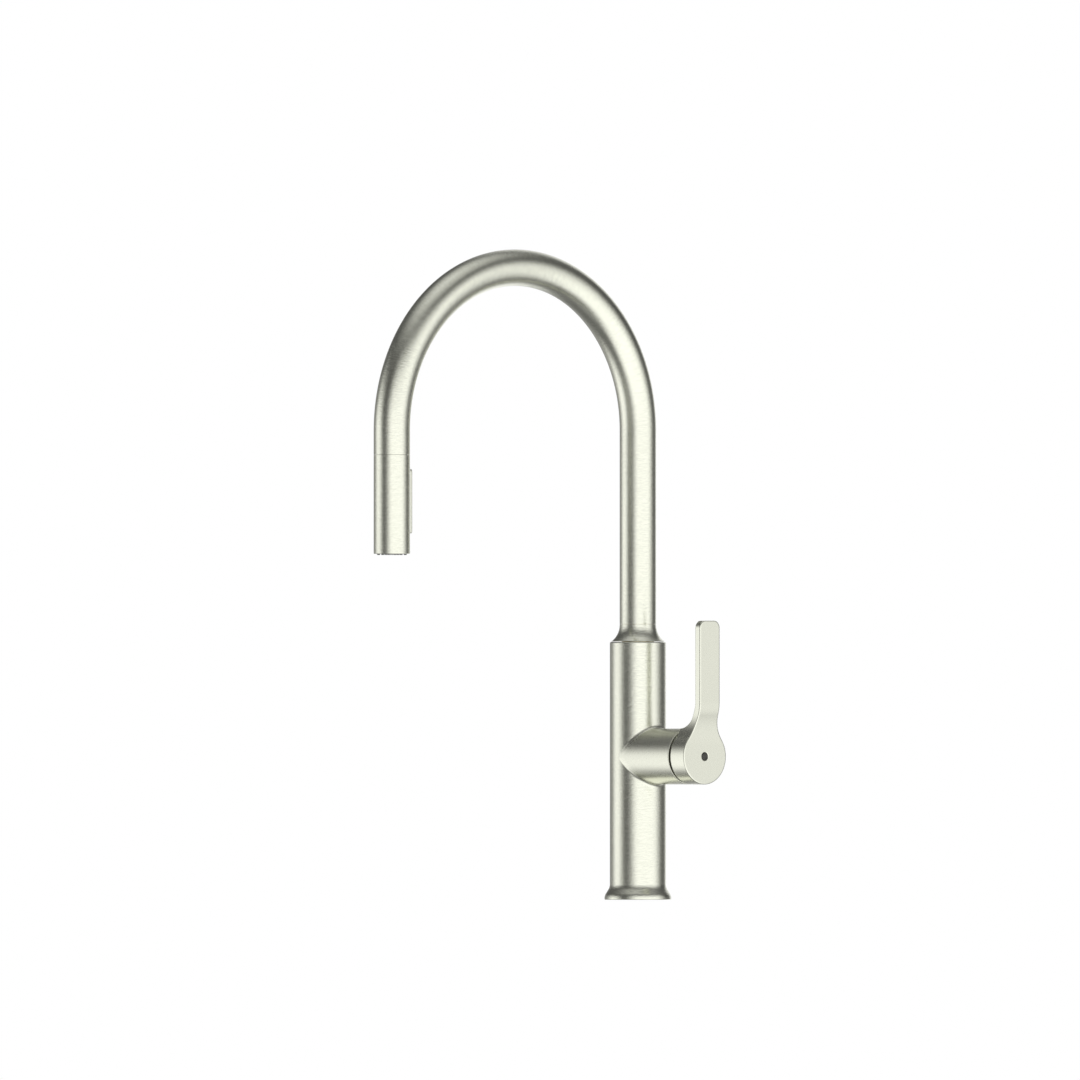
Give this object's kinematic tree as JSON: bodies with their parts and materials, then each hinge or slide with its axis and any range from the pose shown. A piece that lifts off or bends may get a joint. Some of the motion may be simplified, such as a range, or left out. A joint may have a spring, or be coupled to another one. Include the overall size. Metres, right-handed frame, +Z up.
{
  "type": "pull down kitchen faucet",
  "caption": "High-arc single-hole kitchen faucet with a side lever, a swivelling spout and a pull down spray head with a mode button.",
  "frame": {"origin": "on the column's axis at the deck plane that the faucet's foot rests on", "axes": "+Z up along the column, -Y towards the user along the spout, +X towards the side lever"},
  "size_m": [0.1023, 0.2688, 0.4635],
  "materials": {
    "satin_nickel": "satin brushed nickel over brass, fine brush lines around the tubes",
    "button_nickel": "plated plastic matched to the satin nickel",
    "dark_nickel": "dark satin",
    "brass": "machined",
    "stainless_steel": "machined",
    "magnet": "matte",
    "ceramic": "lapped alumina",
    "natural_plastic": "moulded",
    "dark_plastic": "moulded",
    "red_plastic": "moulded",
    "nozzle_silicone": "soft matte",
    "black_rubber": "matte",
    "hose_braid": "braided nylon sleeve"
  },
  "bodies": {
    "faucet_body": {"body_shell": "satin_nickel", "flared_collar": "satin_nickel", "deck_gasket": "black_rubber", "base_insert": "brass", "hose_coupling": "brass", "valve_body": "brass", "hot_inlet_nipple": "brass", "cold_inlet_nipple": "brass", "outlet_nipple": "brass", "cartridge_seal": "black_rubber", "cartridge_base": "natural_plastic", "fixed_ceramic_disc": "ceramic", "cartridge_shell": "natural_plastic", "cartridge_nut": "brass", "hot_limit_ring": "red_plastic", "valve_lock_ring": "brass", "housing_cover": "dark_plastic", "swivel_socket": "brass", "upper_bush": "natural_plastic", "lower_bush": "natural_plastic", "stop_screw": "stainless_steel"},
    "spout": {"spout_tube": "satin_nickel", "swivel_stem": "brass", "retaining_clip": "stainless_steel", "thrust_washer": "stainless_steel", "friction_ring": "black_rubber", "dock_insert": "dark_plastic", "dock_magnet": "magnet", "pull_down_hose": "hose_braid"},
    "spray_head": {"head_shell": "satin_nickel", "head_core": "dark_plastic", "dock_cone": "dark_plastic", "catch_ring": "stainless_steel", "hose_end_fitting": "brass", "check_valve": "natural_plastic", "button_pin": "stainless_steel", "spray_plate": "dark_plastic", "nozzle_mat": "nozzle_silicone", "aerator_insert": "dark_plastic", "aerator_screen": "natural_plastic"},
    "spray_button": {"rocker_button": "button_nickel"},
    "diverter": {"diverter_spool": "stainless_steel"},
    "temperature_rotor": {"cartridge_rotor": "natural_plastic", "stem_pin": "stainless_steel"},
    "flow_disc": {"moving_ceramic_disc": "ceramic", "disc_carrier": "natural_plastic"},
    "handle": {"lever_handle": "satin_nickel", "lever_stem": "stainless_steel", "set_screw": "stainless_steel", "screw_plug": "satin_nickel", "cap_inlay": "dark_nickel"}
  },
  "joints": [
    {"name": "spout_swivel", "type": "hinge", "parent": "faucet_body", "child": "spout", "pos_m": [0, 0, 0.1715], "axis": [0, 0, 1], "range_deg": [-70, 70]},
    {"name": "head_pull", "type": "slide", "parent": "spout", "child": "spray_head", "axis": [0, 0, -1], "range_m": [0, 0.235], "deforming": ["pull_down_hose"]},
    {"name": "button_rock", "type": "hinge", "parent": "spray_head", "child": "spray_button", "pos_m": [0, -0.2242, 0.284], "axis": [1, 0, 0], "range_deg": [-3, 3]},
    {"name": "spool_shift", "type": "slide", "parent": "spray_head", "child": "diverter", "axis": [0, 1, 0], "range_m": [-0.0008, 0.0008]},
    {"name": "temperature_turn", "type": "hinge", "parent": "faucet_body", "child": "temperature_rotor", "pos_m": [0.041, 0, 0.1021], "axis": [1, 0, 0], "range_deg": [-45, 45]},
    {"name": "flow_tilt", "type": "hinge", "parent": "temperature_rotor", "child": "handle", "pos_m": [0.041, 0, 0.1021], "axis": [0, 1, 0], "range_deg": [0, 20]},
    {"name": "disc_shift", "type": "slide", "parent": "temperature_rotor", "child": "flow_disc", "axis": [0, 0, 1], "range_m": [0, 0.0056]}
  ],
  "couplings": [
    {"joint": "spool_shift", "follows": "button_rock", "m_per_rad": 0.014},
    {"joint": "disc_shift", "follows": "flow_tilt", "m_per_rad": 0.0155}
  ]
}
